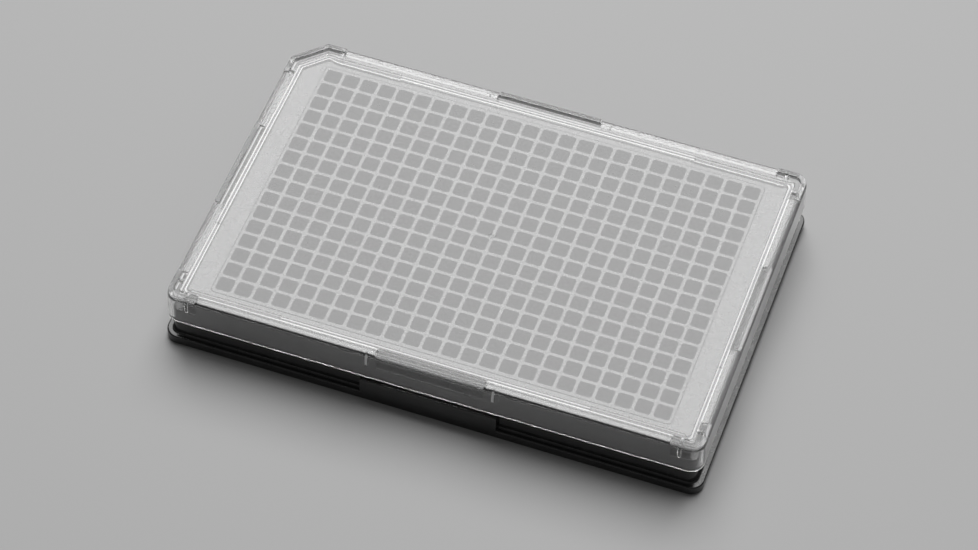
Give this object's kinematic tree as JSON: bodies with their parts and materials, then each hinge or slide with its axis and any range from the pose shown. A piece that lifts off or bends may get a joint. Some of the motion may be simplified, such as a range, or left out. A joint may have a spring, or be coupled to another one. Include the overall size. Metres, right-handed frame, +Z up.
{
  "type": "well plate",
  "caption": "Opaque plate with a grid of small square wells, flat deck and base flange, under a clear lid with one cut corner that rests on it.",
  "frame": {"origin": "centre of the footprint, on the surface the plate stands on", "axes": "+X along the 24 columns and the long side, +Y along the 16 rows towards row A, +Z up; the first well and the cut corner are at -X +Y"},
  "size_m": [0.1278, 0.0854, 0.016],
  "materials": {
    "plate_black": "black moulded polystyrene, semi-gloss, with smooth glossy deck and well rims",
    "lid_clear": "clear moulded polystyrene, polished, see-through, with bright edges"
  },
  "bodies": {
    "root": {"plate_body": "plate_black", "lid": "lid_clear"}
  },
  "joints": []
}
